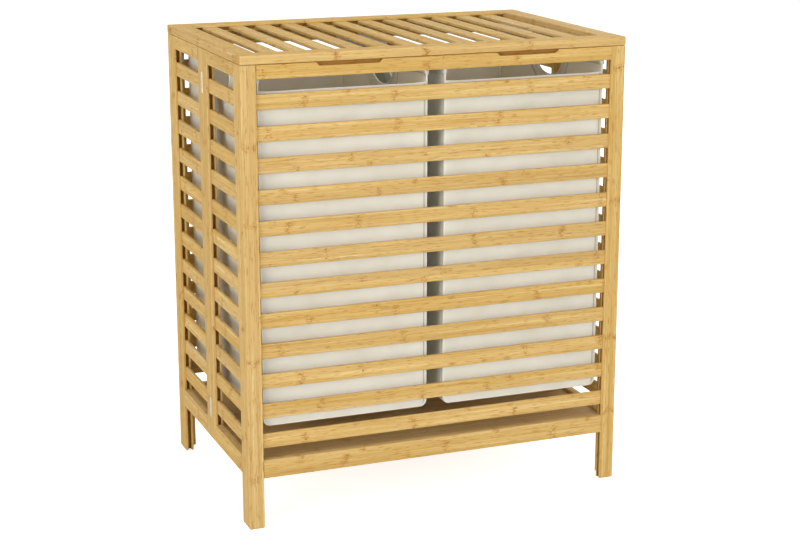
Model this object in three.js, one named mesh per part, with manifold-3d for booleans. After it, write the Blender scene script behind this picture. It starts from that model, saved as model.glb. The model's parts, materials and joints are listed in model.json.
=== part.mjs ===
// Folding bamboo laundry hamper with a slatted lid and two hanging fabric bins.
// Millimetres. +X is to the right, the front faces -Y, +Z is up, and the feet stand on Z = 0.
// The origin is the middle of the footprint, with the hinges behind the back counted in.

import * as THREE from 'three';
import { mergeVertices } from 'three/addons/utils/BufferGeometryUtils.js';
import Module from 'manifold-3d';

const wasm = await Module();
wasm.setup();

// Overall size of the wooden body with its lid shut
const width = 600;
const depth = 400;
const height = 700;

// Bamboo stock for posts, stiles and rails
const stockThickness = 13;
const stileWidth = 23;
const stockRound = 1.5;
const endEase = 0.8;
const topRailHeight = 20.5;
const bottomRailHeight = 28;
const bottomRailLift = 77.5;

// Slats of the four walls, held in grooves
const wallSlatCount = 12;
const slatThickness = 5;
const wallSlatHeight = 22;
const slatRound = 1.2;
const gapUnderTopRail = 21.5;
const gapOverBottomRail = 17.5;
const grooveDepth = 8;
const woodFit = 0.25;

// Lid
const lidRailWidth = 30;
const lidStileWidth = 30;
const lidSlatCount = 12;
const lidSlatWidth = 24;
const lidSeam = 0.5;

// Finger notches under the front edge of the lid
const notchInset = 161;
const notchTopWidth = 101;
const notchBottomWidth = 90;
const notchHeight = 5.5;
const notchDepth = 6;

// Folding sides
const cornerGap = 0.5;
const foldSeam = 1;

// Hinges of the folding sides
const sideHingeLength = 32;
const upperHingeDrop = 50;
const lowerHingeRise = 51.5;
const sideBarrelRadius = 2;
const sidePinRadius = 1;
const sideLeafThickness = 1;
const foldLeafWidth = 10;
const postLeafWidth = 9;
const stileLeafWidth = 18;

// Lid hinges, whose tails meet and stop the open lid
const lidHingeInset = 110;
const lidHingeLength = 42;
const lidBarrelRadius = 2.5;
const lidPinRadius = 1.1;
const lidLeafThickness = 1.2;
const lidLeafWidth = 9;
const lidStopDegrees = 105;
const lidTailDegrees = 50;
const lidTailLength = 9;
const hingeClearance = 0.3;

// Base
const baseThickness = 5;
const baseDrop = 4.5;
const baseGap = 1;
const ledgeSize = 12;

// Bins: fabric bags that hang on rods
const bagSideGap = 15;
const bagFrontGap = 3;
const bagSplit = 26;
const bagFloorGap = 51;
const bagWall = 2.5;
const bagCorner = 5;
const bagBottomRound = 7;
const bagFrontDrop = 30;
const rodRadius = 4;
const rodDrop = 11.5;
const rodEndGap = 0.5;
const saddleDepth = 6.5;
const saddleClearance = 0.3;
const sleeveFabric = 1.5;
const sleeveSlack = 0.5;
const sleeveSeamDrop = 18;
const gripHalfWidth = 50;
const gripHalfHeight = 30;
const gripDrop = 64;

// How finely curves are cut, and how far a cutting tool runs past what it cuts
const cornerSteps = 3;
const slatSteps = 2;
const barrelSides = 8;
const rodSides = 16;
const gripSteps = 12;
const overrun = 2;
const jointOverlap = 0.5;

// Colours
const bambooColour = 0xdcb872;
const rodColour = 0xd8c08c;
const boardColour = 0xb98c55;
const fabricColour = 0xddd8cb;
const metalColour = 0xc9c6bd;

// Sizes that follow from the ones above
const frameTop = height - stockThickness - lidSeam;
const topRailBottom = frameTop - topRailHeight;
const bottomRailTop = bottomRailLift + bottomRailHeight;
const slatZone = topRailBottom - bottomRailTop;
const slatTravel = slatZone - gapUnderTopRail - gapOverBottomRail - wallSlatHeight;
const wallSlatPitch = slatTravel / (wallSlatCount - 1);
const grooveWidth = slatThickness + 2 * woodFit;
const slatInset = (stockThickness - slatThickness) / 2;
const tenon = grooveDepth - woodFit;
const panelOpening = width - 2 * stileWidth;
const baseTop = bottomRailTop - baseDrop;
const lidHingeAxisOut = lidBarrelRadius + hingeClearance;
const tailAngle = THREE.MathUtils.degToRad(lidTailDegrees);
const stopAngle = THREE.MathUtils.degToRad(lidStopDegrees);
const tailReach = lidTailLength * Math.cos(tailAngle) - (hingeClearance / 2) * Math.sin(tailAngle);
const backReach = lidHingeAxisOut + tailReach;
const frontY = -(depth + backReach) / 2;
const backY = frontY + depth;
const seamY = frontY + depth / 2;
const lidHingeY = backY + lidHingeAxisOut;
const lidHingeZ = frameTop + lidSeam / 2;
const lidHingeOffset = width / 2 - lidHingeInset;
const notchOffset = width / 2 - notchInset;
const bagWidth = (width - bagSplit) / 2 - stockThickness - bagSideGap;
const bagDepth = depth - 2 * (stockThickness + bagFrontGap);
const bagBottomZ = baseTop + bagFloorGap;
const rodZ = frameTop - rodDrop;
const bagFrontWallTop = rodZ - bagFrontDrop;
const gripBottomZ = rodZ - gripDrop;
const sleeveRadius = rodRadius + sleeveSlack + sleeveFabric;
const saddleRadius = rodRadius + saddleClearance;

const group = new THREE.Group();

// Materials, one for each piece

function finish(colour, roughness, metalness) {
  return new THREE.MeshStandardMaterial({ color: colour, roughness, metalness });
}

const bamboo = () => finish(bambooColour, 0.5, 0);
const dowel = () => finish(rodColour, 0.55, 0);
const board = () => finish(boardColour, 0.6, 0);
const fabric = () => finish(fabricColour, 0.9, 0);
const metal = () => finish(metalColour, 0.35, 1);

function add(name, geometry, material, x = 0, y = 0, z = 0) {
  const mesh = new THREE.Mesh(geometry, material);
  mesh.name = name;
  mesh.position.set(x, y, z);
  group.add(mesh);
}

// Joining and cutting of closed solids

function toSolid(geometry) {
  const bare = geometry.clone();
  bare.deleteAttribute('normal');
  bare.deleteAttribute('uv');
  const merged = mergeVertices(bare);
  return new wasm.Manifold(new wasm.Mesh({
    numProp: 3,
    vertProperties: new Float32Array(merged.attributes.position.array),
    triVerts: new Uint32Array(merged.index.array),
  }));
}

function toGeometry(solid) {
  const mesh = solid.getMesh();
  const geometry = new THREE.BufferGeometry();
  geometry.setAttribute('position', new THREE.BufferAttribute(mesh.vertProperties, 3));
  geometry.setIndex(new THREE.BufferAttribute(mesh.triVerts, 1));
  geometry.computeVertexNormals();
  return geometry;
}

const joined = (parts) => parts.map(toSolid).reduce((sum, part) => sum.add(part));
const cutFrom = (solid, tools) => tools.map(toSolid).reduce((rest, tool) => rest.subtract(tool), solid);

// Shapes and the directions in which they are drawn out

const runAlongX = new THREE.Matrix4().makeBasis(
  new THREE.Vector3(0, 1, 0), new THREE.Vector3(0, 0, 1), new THREE.Vector3(1, 0, 0));
const runAlongY = new THREE.Matrix4().makeBasis(
  new THREE.Vector3(0, 0, 1), new THREE.Vector3(1, 0, 0), new THREE.Vector3(0, 1, 0));

function drawOut(shape, length, round = 0, steps = 1) {
  return new THREE.ExtrudeGeometry(shape, {
    depth: length - 2 * round,
    bevelEnabled: round > 0,
    bevelThickness: round,
    bevelSize: round,
    bevelOffset: -round,
    bevelSegments: steps,
  }).translate(0, 0, round);
}

// Section in Y and Z, from x to x + length
const barAlongX = (shape, length, round, steps) => drawOut(shape, length, round, steps).applyMatrix4(runAlongX);

// Section in Z and X, from y to y + length
const barAlongY = (shape, length, round, steps) => drawOut(shape, length, round, steps).applyMatrix4(runAlongY);

function polygon(points) {
  return new THREE.Shape(points.map(([x, y]) => new THREE.Vector2(x, y)));
}

// Box between two bounds on each axis, given in either order
function block(x0, x1, y0, y1, z0, z1) {
  return new THREE.BoxGeometry(Math.abs(x1 - x0), Math.abs(y1 - y0), Math.abs(z1 - z0))
    .translate((x0 + x1) / 2, (y0 + y1) / 2, (z0 + z1) / 2);
}

// Points of an arc, from and to in quarter turns
function arc(cx, cy, radius, from, to, steps = cornerSteps) {
  return Array.from({ length: steps + 1 }, (_, i) => {
    const angle = (from + (i / steps) * (to - from)) * (Math.PI / 2);
    return [cx + radius * Math.cos(angle), cy + radius * Math.sin(angle)];
  });
}

const roundedRect = (x0, x1, y0, y1, radius, steps) => polygon([
  ...arc(x1 - radius, y0 + radius, radius, -1, 0, steps),
  ...arc(x1 - radius, y1 - radius, radius, 0, 1, steps),
  ...arc(x0 + radius, y1 - radius, radius, 1, 2, steps),
  ...arc(x0 + radius, y0 + radius, radius, 2, 3, steps),
]);

// Stock with a groove along the middle of its edge at u = size: u runs across the width, v through the thickness
function groovedRect(size) {
  const radius = stockRound;
  const thickness = stockThickness;
  const low = (thickness - grooveWidth) / 2;
  const high = low + grooveWidth;
  return polygon([
    ...arc(size - radius, radius, radius, -1, 0),
    [size, low], [size - grooveDepth, low], [size - grooveDepth, high], [size, high],
    ...arc(size - radius, thickness - radius, radius, 0, 1),
    ...arc(radius, thickness - radius, radius, 1, 2),
    ...arc(radius, radius, radius, 2, 3),
  ]);
}

function disc(radius, cx = 0, cy = 0, sides = barrelSides) {
  const points = Array.from({ length: sides }, (_, i) => {
    const angle = (i / sides) * 2 * Math.PI;
    return [cx + radius * Math.cos(angle), cy + radius * Math.sin(angle)];
  });
  return polygon(points);
}

// Post or stile with its groove facing +1 or -1 along X, from y = 0 to the stock thickness
function postAlongX(facing) {
  const post = drawOut(groovedRect(stileWidth), frameTop, endEase);
  return facing > 0 ? post : post.rotateZ(Math.PI).translate(0, stockThickness, 0);
}

// The same with its groove facing +1 or -1 along Y, from x = 0 to the stock thickness
function stileAlongY(facing, length) {
  const stile = drawOut(groovedRect(stileWidth), length, endEase).rotateZ(Math.PI / 2);
  return facing > 0
    ? stile.translate(stockThickness, 0, 0)
    : stile.rotateZ(Math.PI);
}

// Rail from x = 0 with a tongue past each end; y runs through the thickness and z up its width
function makeRail(length, size, tongueBefore, tongueAfter) {
  const body = barAlongX(roundedRect(0, stockThickness, 0, size, stockRound), length, 0);
  const tongue = block(-tongueBefore, length + tongueAfter, slatInset, slatInset + slatThickness, 0, size);
  return joined([body, tongue]);
}

const slatZ = (row) => topRailBottom - gapUnderTopRail - wallSlatHeight - row * wallSlatPitch;
const slatSection = () => roundedRect(0, slatThickness, 0, wallSlatHeight, slatRound, slatSteps);
const wallRows = Array.from({ length: wallSlatCount }, (_, row) => row);
const numbered = (stem, row) => `${stem}_${String(row + 1).padStart(2, '0')}`;

// Front and back walls

const railLength = panelOpening - 2 * woodFit;
const railTongue = woodFit + tenon;
const wallSlatLength = panelOpening + 2 * tenon;
const makeWallSlat = () => barAlongX(slatSection(), wallSlatLength, 0);
const makeWallRail = (size) => makeRail(railLength, size, railTongue, railTongue).translate([-railLength / 2, 0, 0]);
const rodXs = [-1, 1].flatMap((bin) => {
  const middle = (bin * (bagSplit + bagWidth)) / 2;
  const reach = bagWidth / 2 - sleeveRadius;
  return [middle - reach, middle + reach];
});

// Open-topped slots for the rods, cut into the inner part of a top rail's thickness
function saddleCuts(y0, y1) {
  const bottom = rodZ - topRailBottom;
  const top = topRailHeight + overrun;
  const slot = polygon([
    [top, -saddleRadius], [top, saddleRadius],
    ...arc(bottom, 0, saddleRadius, 1, 3, rodSides / 2),
  ]);
  return rodXs.map((x) => barAlongY(slot, y1 - y0, 0).translate(x, y0, 0));
}

function fingerNotch(x) {
  const top = topRailHeight + overrun;
  const spread = ((notchTopWidth - notchBottomWidth) / 2) * (overrun / notchHeight);
  const outline = polygon([
    [topRailHeight - notchHeight, -notchBottomWidth / 2],
    [top, -notchTopWidth / 2 - spread],
    [top, notchTopWidth / 2 + spread],
    [topRailHeight - notchHeight, notchBottomWidth / 2],
  ]);
  return barAlongY(outline, notchDepth + overrun, 0).translate(x, -overrun, 0);
}

// Pocket for a lid hinge leaf
function leafPocket(x, y0, y1, z0, z1) {
  const half = lidHingeLength / 2 + hingeClearance;
  return block(x - half, x + half, y0, y1, z0, z1);
}

const lidHingeXs = [-lidHingeOffset, lidHingeOffset];

const makeTopRail = (cuts) => toGeometry(cutFrom(makeWallRail(topRailHeight), cuts));
const makeBottomRail = () => toGeometry(makeWallRail(bottomRailHeight));

function makeFrontTopRail() {
  const saddles = saddleCuts(stockThickness - saddleDepth, stockThickness + overrun);
  const notches = [-notchOffset, notchOffset].map(fingerNotch);
  return makeTopRail([...saddles, ...notches]);
}

function makeBackTopRail() {
  const pocketDepth = lidLeafThickness + hingeClearance;
  const pockets = lidHingeXs.map((x) => leafPocket(
    x, stockThickness - lidLeafWidth - hingeClearance, stockThickness + overrun,
    topRailHeight - pocketDepth, topRailHeight + overrun));
  return makeTopRail([...saddleCuts(-overrun, saddleDepth), ...pockets]);
}

function buildFrontWall() {
  const y = frontY;
  add('front_post_left', postAlongX(1), bamboo(), -width / 2, y);
  add('front_post_right', postAlongX(-1), bamboo(), width / 2, y);
  add('front_top_rail', makeFrontTopRail(), bamboo(), 0, y, topRailBottom);
  add('front_bottom_rail', makeBottomRail(), bamboo(), 0, y, bottomRailLift);
  for (const row of wallRows) {
    add(numbered('front_slat', row), makeWallSlat(), bamboo(), -wallSlatLength / 2, y + slatInset, slatZ(row));
  }
}

// The back wall's slats are joined to its right post
function makeBackLattice() {
  const slats = wallRows.map((row) => makeWallSlat().translate(
    -wallSlatLength / 2 + woodFit + jointOverlap, slatInset, slatZ(row)));
  return toGeometry(joined([postAlongX(-1).translate(width / 2, 0, 0), ...slats]));
}

function buildBackWall() {
  const y = backY - stockThickness;
  add('back_post_left', postAlongX(1), bamboo(), -width / 2, y);
  add('back_lattice', makeBackLattice(), bamboo(), 0, y);
  add('back_top_rail', makeBackTopRail(), bamboo(), 0, y, topRailBottom);
  add('back_bottom_rail', makeBottomRail(), bamboo(), 0, y, bottomRailLift);
}

// Folding sides: each is two half-frames hinged at the middle of the depth

const halfDepth = depth / 2 - stockThickness - cornerGap - foldSeam / 2;
const halfOpening = halfDepth - 2 * stileWidth;
const lowerHingeZ = bottomRailLift + lowerHingeRise;
const upperHingeZ = frameTop - upperHingeDrop;

// Room in the meeting edges for the leaves and the barrel, around the seam at y = 0 and the outer face at x = 0
function foldHingePockets(outward) {
  const halfLength = sideHingeLength / 2 + hingeClearance;
  const halfThickness = sideLeafThickness + hingeClearance;
  const inner = -outward * (foldLeafWidth + hingeClearance);
  return [lowerHingeZ, upperHingeZ].flatMap((z) => [
    block(inner, 0, -halfThickness, halfThickness, z - halfLength, z + halfLength),
    drawOut(disc(sideBarrelRadius + hingeClearance), 2 * halfLength).translate(0, 0, z - halfLength),
  ]);
}

// The stile at the seam with the half-frame's rails and slats, from the corner at y = 0; the outer face is at x = 0
function makeSideLattice(outward, toSeam) {
  const innerToOuter = outward > 0 ? -stockThickness : 0;
  const stile = stileAlongY(-1, frameTop - bottomRailLift).translate(innerToOuter, halfDepth, bottomRailLift);
  const bodyLength = halfOpening - 2 * woodFit;
  const seated = woodFit + grooveDepth + jointOverlap;
  const rails = [[topRailBottom, topRailHeight], [bottomRailLift, bottomRailHeight]].map(([z, size]) => (
    makeRail(bodyLength, size, railTongue, seated)
      .rotate([0, 0, 90])
      .translate([innerToOuter + stockThickness, stileWidth + woodFit, z])));
  const slatLength = tenon + halfOpening + grooveDepth + jointOverlap;
  const slatShape = roundedRect(0, wallSlatHeight, 0, slatThickness, slatRound, slatSteps);
  const slats = wallRows.map((row) => barAlongY(slatShape, slatLength, 0)
    .translate(innerToOuter + slatInset, stileWidth - tenon, slatZ(row)));
  const pockets = foldHingePockets(outward).map((tool) => tool.translate(0, halfDepth + foldSeam / 2, 0));
  const whole = rails.reduce((sum, rail) => sum.add(rail), joined([stile, ...slats]));
  const lattice = toGeometry(cutFrom(whole, pockets));
  return toSeam > 0 ? lattice : mirrorY(lattice);
}

// Turns a piece of the front half into one of the back half
function mirrorY(geometry) {
  const mirrored = geometry.clone().applyMatrix4(new THREE.Matrix4().makeScale(1, -1, 1));
  const index = mirrored.index.array;
  for (let i = 0; i < index.length; i += 3) {
    [index[i], index[i + 1]] = [index[i + 1], index[i]];
  }
  return mirrored;
}

function buildSide(side, outward) {
  const outerX = (outward * width) / 2;
  const innerToOuter = outward > 0 ? -stockThickness : 0;
  const setBack = stockThickness + cornerGap;
  for (const [half, cornerY, toSeam] of [['front', frontY + setBack, 1], ['back', backY - setBack, -1]]) {
    const leg = stileAlongY(toSeam, frameTop).translate(innerToOuter, 0, 0);
    add(`${side}_${half}_leg`, leg, bamboo(), outerX, cornerY);
    add(`${side}_${half}_lattice`, makeSideLattice(outward, toSeam), bamboo(), outerX, cornerY);
  }
}

// Hinges of the folding sides: one solid each, shut in the middle of a side and at a right angle in a corner

// Three knuckles on a pin at x, y: the outer two hold the first leaf, the middle one the second
function knuckledHinge(outerLeaf, middleLeaf, x, y) {
  const third = sideHingeLength / 3;
  const clear = sideBarrelRadius + hingeClearance;
  const turned = (radius, from, to) => drawOut(disc(radius, x, y), to - from).translate(0, 0, from);
  const outer = cutFrom(toSolid(outerLeaf), [turned(clear, third - hingeClearance, 2 * third + hingeClearance)]);
  const middle = cutFrom(toSolid(middleLeaf), [
    turned(clear, -overrun, third), turned(clear, 2 * third, sideHingeLength + overrun)]);
  const barrel = joined([
    turned(sideBarrelRadius, 0, third - hingeClearance),
    turned(sideBarrelRadius, third, 2 * third),
    turned(sideBarrelRadius, 2 * third + hingeClearance, sideHingeLength),
    turned(sidePinRadius, 0, sideHingeLength),
  ]);
  return toGeometry(outer.add(middle).add(barrel));
}

function makeFoldHinge(outward) {
  const [front, back] = [-1, 1].map((way) => block(
    -outward * foldLeafWidth, 0, (way * hingeClearance) / 2, way * sideLeafThickness, 0, sideHingeLength));
  return knuckledHinge(front, back, 0, 0);
}

function makeCornerHinge(outward, toSeam) {
  const barrelX = -outward * (hingeClearance + sideBarrelRadius);
  const barrelY = toSeam * (hingeClearance + sideBarrelRadius);
  const leafFace = hingeClearance + sideLeafThickness;
  const onPost = block(
    barrelX, -outward * postLeafWidth, toSeam * hingeClearance, toSeam * leafFace, 0, sideHingeLength);
  const onStile = block(
    -outward * hingeClearance, -outward * leafFace, barrelY, toSeam * stileLeafWidth, 0, sideHingeLength);
  return knuckledHinge(onPost, onStile, barrelX, barrelY);
}

function buildSideHinges() {
  for (const [side, outward] of [['left', -1], ['right', 1]]) {
    for (const [level, z] of [['lower', lowerHingeZ], ['upper', upperHingeZ]]) {
      const bottom = z - sideHingeLength / 2;
      const outerX = (outward * width) / 2;
      const innerX = outerX - outward * stockThickness;
      add(`${side}_fold_hinge_${level}`, makeFoldHinge(outward), metal(), outerX, seamY, bottom);
      for (const [end, faceY, toSeam] of [['front', frontY + stockThickness, 1], ['back', backY - stockThickness, -1]]) {
        add(`${side}_${end}_hinge_${level}`, makeCornerHinge(outward, toSeam), metal(), innerX, faceY, bottom);
      }
    }
  }
}

// Lid: grooved front and back rails across the full width, stiles between them and slats from front to back

const lidBottom = height - stockThickness;
const lidOpeningWidth = width - 2 * lidStileWidth;
const lidOpeningDepth = depth - 2 * lidRailWidth;
const lidSlatGap = (lidOpeningWidth - lidSlatCount * lidSlatWidth) / (lidSlatCount + 1);
const lidRailSection = () => groovedRect(lidRailWidth);

function lidSlatX(column) {
  return -lidOpeningWidth / 2 + lidSlatGap + column * (lidSlatWidth + lidSlatGap);
}

function makeLidLattice() {
  const rail = barAlongX(lidRailSection(), width, endEase).translate(-width / 2, 0, 0);
  const length = lidOpeningDepth + grooveDepth + tenon + jointOverlap;
  const slats = Array.from({ length: lidSlatCount }, (_, column) => barAlongY(
    roundedRect(0, slatThickness, 0, lidSlatWidth, slatRound, slatSteps), length, 0)
    .translate(lidSlatX(column), lidRailWidth - grooveDepth - jointOverlap, slatInset));
  return toGeometry(joined([rail, ...slats]));
}

function makeLidBackRail() {
  const rail = barAlongX(lidRailSection(), width, endEase).rotateZ(Math.PI).translate(width / 2, 0, 0);
  const pockets = lidHingeXs.map((x) => leafPocket(
    x, -lidLeafWidth - hingeClearance, overrun, -overrun, lidLeafThickness + hingeClearance));
  return toGeometry(cutFrom(toSolid(rail), pockets));
}

function makeLidStile() {
  const length = lidOpeningDepth - 2 * woodFit;
  const upright = makeRail(length, lidStileWidth, railTongue, railTongue);
  return toGeometry(upright.rotate([90, 0, 0]).rotate([0, 0, 90]).translate([0, woodFit, 0]));
}

function buildLid() {
  add('lid_lattice', makeLidLattice(), bamboo(), 0, frontY, lidBottom);
  add('lid_back_rail', makeLidBackRail(), bamboo(), 0, backY, lidBottom);
  for (const [side, x] of [['left', -width / 2], ['right', width / 2 - lidStileWidth]]) {
    add(`lid_stile_${side}`, makeLidStile(), bamboo(), x, frontY + lidRailWidth, lidBottom);
  }
}

// Lid hinges: section in Y and Z around the pin, run along X

const knuckle = lidHingeLength / 3;

function tail(angle, side) {
  const near = (side * hingeClearance) / 2;
  const far = near + side * lidLeafThickness;
  const turn = ([u, v]) => [u * Math.cos(angle) - v * Math.sin(angle), u * Math.sin(angle) + v * Math.cos(angle)];
  return polygon([[0, near], [lidTailLength, near], [lidTailLength, far], [0, far]].map(turn));
}

function barrelPart(radius, from, to) {
  return barAlongX(disc(radius), to - from, 0).translate(from, 0, 0);
}

function leafPlate(side) {
  const near = (side * lidSeam) / 2;
  const far = near + side * lidLeafThickness;
  const front = -lidHingeAxisOut - lidLeafWidth;
  return block(0, lidHingeLength, front, 0, near, far);
}

function makeFrameLeaf() {
  const clear = lidBarrelRadius + hingeClearance;
  const plates = joined([leafPlate(-1), barAlongX(tail(tailAngle - stopAngle, -1), lidHingeLength, 0)]);
  const cleared = cutFrom(plates, [barrelPart(clear, knuckle - hingeClearance, 2 * knuckle + hingeClearance)]);
  const barrels = joined([
    barrelPart(lidBarrelRadius, 0, knuckle - hingeClearance),
    barrelPart(lidBarrelRadius, 2 * knuckle + hingeClearance, lidHingeLength),
    barrelPart(lidPinRadius, 0, lidHingeLength),
  ]);
  return toGeometry(cleared.add(barrels));
}

function makeLidLeaf() {
  const clear = lidBarrelRadius + hingeClearance;
  const lidTail = barAlongX(tail(tailAngle, 1), knuckle, 0).translate(knuckle, 0, 0);
  const cleared = cutFrom(toSolid(leafPlate(1)), [
    barrelPart(clear, -overrun, knuckle), barrelPart(clear, 2 * knuckle, lidHingeLength + overrun)]);
  const whole = cleared.add(toSolid(barrelPart(lidBarrelRadius, knuckle, 2 * knuckle))).add(toSolid(lidTail));
  const bore = barrelPart(lidPinRadius + hingeClearance, -overrun, lidHingeLength + overrun);
  return toGeometry(cutFrom(whole, [bore]));
}

function buildLidHinges() {
  for (const [side, x] of [['left', -lidHingeOffset], ['right', lidHingeOffset]]) {
    const from = x - lidHingeLength / 2;
    add(`lid_hinge_${side}_frame_leaf`, makeFrameLeaf(), metal(), from, lidHingeY, lidHingeZ);
    add(`lid_hinge_${side}_lid_leaf`, makeLidLeaf(), metal(), from, lidHingeY, lidHingeZ);
  }
}

// Base: a board on two ledges behind the bottom rails

function buildBase() {
  const boardX = width / 2 - stockThickness - baseGap;
  const boardDepth = depth - 2 * (stockThickness + baseGap);
  const plan = roundedRect(-boardX, boardX, 0, boardDepth, stockRound);
  const boardY = frontY + stockThickness + baseGap;
  add('base_board', drawOut(plan, baseThickness, endEase), board(), 0, boardY, baseTop - baseThickness);
  const ledgeZ = baseTop - baseThickness - woodFit - ledgeSize;
  const section = roundedRect(0, ledgeSize, 0, ledgeSize, slatRound);
  const length = panelOpening;
  for (const [end, y] of [
    ['front', frontY + stockThickness + woodFit], ['back', backY - stockThickness - woodFit - ledgeSize]]) {
    add(`base_ledge_${end}`, barAlongX(section, length, endEase), bamboo(), -length / 2, y, ledgeZ);
  }
}

// Bins

// Points of a rounded rectangle around the origin, the same number at every size
function ringPoints(halfX, halfY, radius, z) {
  const points = [];
  for (let corner = 0; corner < 4; corner += 1) {
    const signX = corner === 0 || corner === 3 ? 1 : -1;
    const signY = corner < 2 ? 1 : -1;
    for (let step = 0; step <= cornerSteps; step += 1) {
      const angle = (corner + step / cornerSteps) * (Math.PI / 2);
      points.push([
        signX * (halfX - radius) + radius * Math.cos(angle),
        signY * (halfY - radius) + radius * Math.sin(angle), z]);
    }
  }
  return points;
}

// Closed solid through a stack of rings with a flat end at the bottom and the top
function loft(rings) {
  const count = rings[0].length;
  const triangles = [];
  for (let level = 0; level + 1 < rings.length; level += 1) {
    for (let i = 0; i < count; i += 1) {
      const j = (i + 1) % count;
      const [a, b, c, d] = [level * count + i, level * count + j, (level + 1) * count + j, (level + 1) * count + i];
      triangles.push(a, b, c, a, c, d);
    }
  }
  const top = (rings.length - 1) * count;
  for (let i = 1; i + 1 < count; i += 1) {
    triangles.push(0, i + 1, i, top, top + i, top + i + 1);
  }
  const geometry = new THREE.BufferGeometry();
  geometry.setAttribute('position', new THREE.Float32BufferAttribute(rings.flat(2), 3));
  geometry.setIndex(triangles);
  return geometry;
}

// Tub with a rounded bottom edge, from z up to top. inset shrinks it all round
function tub(inset, z, top) {
  const halfX = bagWidth / 2 - inset;
  const halfY = bagDepth / 2 - inset;
  const round = bagBottomRound - inset;
  const corner = Math.max(bagCorner - inset, bagCorner / 2);
  const rings = [];
  for (let step = 0; step <= cornerSteps; step += 1) {
    const angle = (step / cornerSteps) * (Math.PI / 2);
    const pull = round * (1 - Math.sin(angle));
    const lift = round * (1 - Math.cos(angle));
    rings.push(ringPoints(halfX - pull, halfY - pull, corner, z + inset + lift));
  }
  rings.push(ringPoints(halfX, halfY, corner, top));
  return loft(rings);
}

// Loop of fabric round a rod, flush with the outer face of the wall it hangs on. inward is 1 or -1 along X
function sleeve(inward) {
  const slant = Math.PI / 6;
  const wedge = polygon([
    [-sleeveSeamDrop, -inward * sleeveRadius],
    [-sleeveSeamDrop, -inward * (sleeveRadius - bagWall)],
    [-sleeveRadius * Math.sin(slant), inward * sleeveRadius * Math.cos(slant)],
    [0, -inward * sleeveRadius],
  ]);
  return [disc(sleeveRadius, 0, 0, rodSides), wedge].map((shape) => barAlongY(shape, bagDepth, 0));
}

// Cut through both side walls: a half oval below, open to the top so that the rod is the grip
function gripCut() {
  const middle = gripBottomZ + gripHalfHeight;
  const points = Array.from({ length: gripSteps + 1 }, (_, i) => {
    const angle = Math.PI + (i / gripSteps) * Math.PI;
    return [gripHalfWidth * Math.cos(angle), middle + gripHalfHeight * Math.sin(angle)];
  });
  points.push([gripHalfWidth, height], [-gripHalfWidth, height]);
  return barAlongX(polygon(points), bagWidth + 2 * overrun, 0).translate(-bagWidth / 2 - overrun, 0, 0);
}

function makeBag() {
  const shell = cutFrom(toSolid(tub(0, bagBottomZ, rodZ)), [tub(bagWall, bagBottomZ, rodZ + overrun)]);
  const lowFront = block(
    -bagWidth / 2 + bagWall, bagWidth / 2 - bagWall, -bagDepth / 2 - overrun, bagDepth / 2 + overrun,
    bagFrontWallTop, rodZ + overrun);
  const rodX = bagWidth / 2 - sleeveRadius;
  const sleeves = [-1, 1].flatMap((side) => sleeve(-side).map(
    (part) => part.translate(side * rodX, -bagDepth / 2, rodZ)));
  const bores = [-1, 1].map((side) => barAlongY(
    disc(rodRadius + sleeveSlack, 0, 0, rodSides), bagDepth + 2 * overrun, 0)
    .translate(side * rodX, -bagDepth / 2 - overrun, rodZ));
  const withSleeves = cutFrom(shell, [lowFront]).add(joined(sleeves));
  return toGeometry(cutFrom(withSleeves, [...bores, gripCut()]));
}

function buildBin(side, toSide) {
  const middleX = (toSide * (bagSplit + bagWidth)) / 2;
  const middleY = frontY + stockThickness + bagFrontGap + bagDepth / 2;
  add(`bin_${side}_bag`, makeBag(), fabric(), middleX, middleY);
  const rodLength = depth - 2 * (stockThickness - saddleDepth + rodEndGap);
  const rodX = bagWidth / 2 - sleeveRadius;
  for (const [place, way] of [['outer', toSide], ['inner', -toSide]]) {
    const rod = barAlongY(disc(rodRadius, 0, 0, rodSides), rodLength, endEase);
    add(`bin_${side}_rod_${place}`, rod, dowel(), middleX + way * rodX, seamY - rodLength / 2, rodZ);
  }
}

buildFrontWall();
buildBackWall();
buildSide('left', -1);
buildSide('right', 1);
buildSideHinges();
buildLid();
buildLidHinges();
buildBase();
buildBin('left', -1);
buildBin('right', 1);

export default group;
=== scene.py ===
"""Laundry hamper with two bins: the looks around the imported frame. Metres, in the frame's own axes."""

import collections
import fnmatch
import functools
import json
import math

import bmesh
import bpy
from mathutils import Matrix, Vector, noise

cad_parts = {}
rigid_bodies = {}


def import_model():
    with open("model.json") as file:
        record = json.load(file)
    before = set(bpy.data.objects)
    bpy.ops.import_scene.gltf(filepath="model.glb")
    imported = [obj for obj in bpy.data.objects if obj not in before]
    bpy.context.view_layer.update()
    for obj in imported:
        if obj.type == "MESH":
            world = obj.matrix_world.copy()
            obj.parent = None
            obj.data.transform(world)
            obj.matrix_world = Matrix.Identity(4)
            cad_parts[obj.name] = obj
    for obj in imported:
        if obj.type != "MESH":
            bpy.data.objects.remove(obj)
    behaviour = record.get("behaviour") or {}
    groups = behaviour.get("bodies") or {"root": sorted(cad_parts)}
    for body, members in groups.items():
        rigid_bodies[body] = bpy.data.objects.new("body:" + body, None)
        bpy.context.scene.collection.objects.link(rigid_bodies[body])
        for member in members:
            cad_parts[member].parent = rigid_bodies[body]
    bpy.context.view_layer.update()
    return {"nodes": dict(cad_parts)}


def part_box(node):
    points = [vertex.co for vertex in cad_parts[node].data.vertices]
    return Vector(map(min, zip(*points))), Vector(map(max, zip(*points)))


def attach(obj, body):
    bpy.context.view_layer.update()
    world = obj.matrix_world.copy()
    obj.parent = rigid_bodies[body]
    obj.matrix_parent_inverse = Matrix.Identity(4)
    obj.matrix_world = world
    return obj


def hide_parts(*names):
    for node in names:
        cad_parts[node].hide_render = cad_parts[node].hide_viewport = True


for leftover in list(bpy.data.objects):
    bpy.data.objects.remove(leftover)
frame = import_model()
nodes = frame["nodes"]

# Places that come from the frame


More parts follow.
